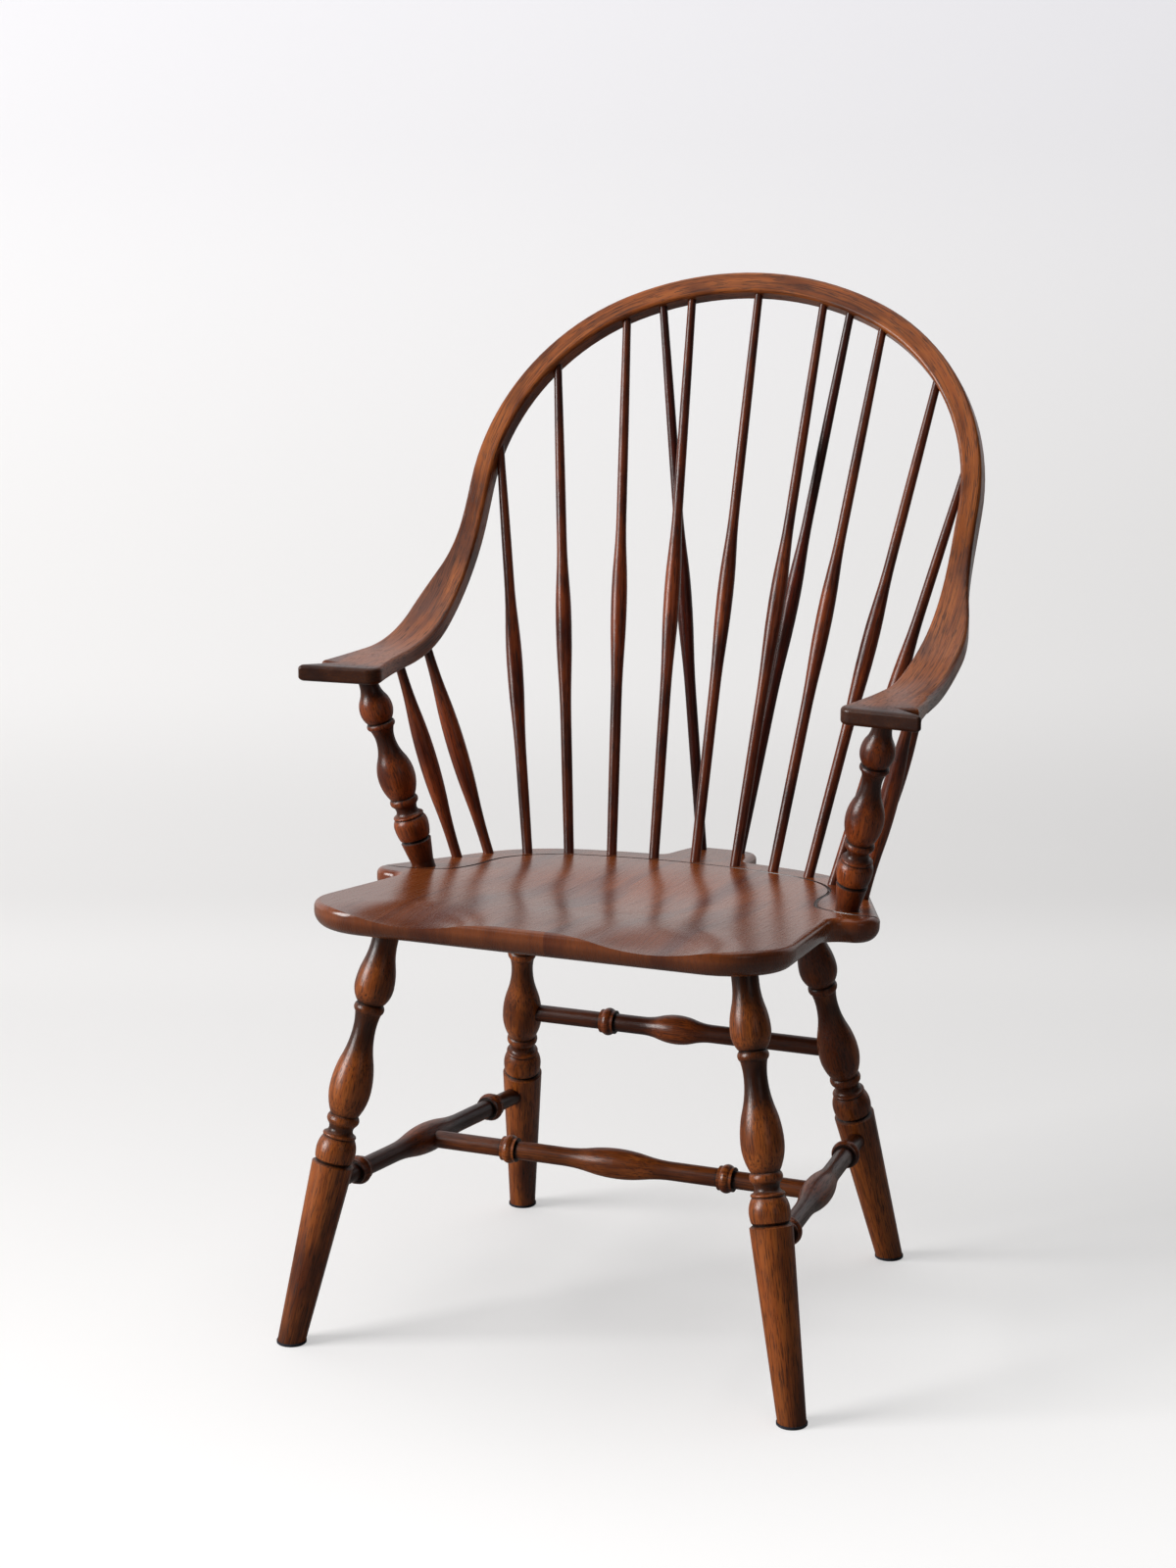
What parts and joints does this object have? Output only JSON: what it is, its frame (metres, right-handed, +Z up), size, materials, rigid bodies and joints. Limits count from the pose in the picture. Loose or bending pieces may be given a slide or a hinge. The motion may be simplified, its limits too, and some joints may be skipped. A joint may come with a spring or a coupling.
{
  "type": "brace back windsor armchair",
  "caption": "Brace-back Windsor armchair with a bent bow that runs on into the arms, a saddled plank seat with a tail, and turned, splayed legs tied by stretchers.",
  "frame": {"origin": "on the floor, under the middle of the chair's outer box", "axes": "+Z up, the sitter faces -Y, +X is to the sitter's left"},
  "size_m": [0.663, 0.6625, 1.0392],
  "materials": {
    "seat_wood": "satin lacquer over a dark red-brown stain",
    "bow_wood": "satin lacquer over a red-brown stain, lighter along the arms",
    "spindle_wood": "satin lacquer over a dark red-brown stain",
    "turned_wood": "satin lacquer over a red-brown stain, darker in the turned grooves",
    "glide_pad": "matt dark pad"
  },
  "bodies": {
    "root": {"arm_post_left": "turned_wood", "arm_post_right": "turned_wood", "back_spindle_centre": "spindle_wood", "back_spindle_left_1": "spindle_wood", "back_spindle_left_2": "spindle_wood", "back_spindle_left_3": "spindle_wood", "back_spindle_left_4": "spindle_wood", "back_spindle_right_1": "spindle_wood", "back_spindle_right_2": "spindle_wood", "back_spindle_right_3": "spindle_wood", "back_spindle_right_4": "spindle_wood", "brace_spindle_left": "spindle_wood", "brace_spindle_right": "spindle_wood", "continuous_arm_bow": "bow_wood", "foot_glide_front_left": "glide_pad", "foot_glide_front_right": "glide_pad", "foot_glide_rear_left": "glide_pad", "foot_glide_rear_right": "glide_pad", "leg_front_left": "turned_wood", "leg_front_right": "turned_wood", "leg_rear_left": "turned_wood", "leg_rear_right": "turned_wood", "seat": "seat_wood", "short_spindle_left_front": "spindle_wood", "short_spindle_left_rear": "spindle_wood", "short_spindle_right_front": "spindle_wood", "short_spindle_right_rear": "spindle_wood", "stretcher_medial": "turned_wood", "stretcher_rear": "turned_wood", "stretcher_side_left": "turned_wood", "stretcher_side_right": "turned_wood"}
  },
  "joints": []
}
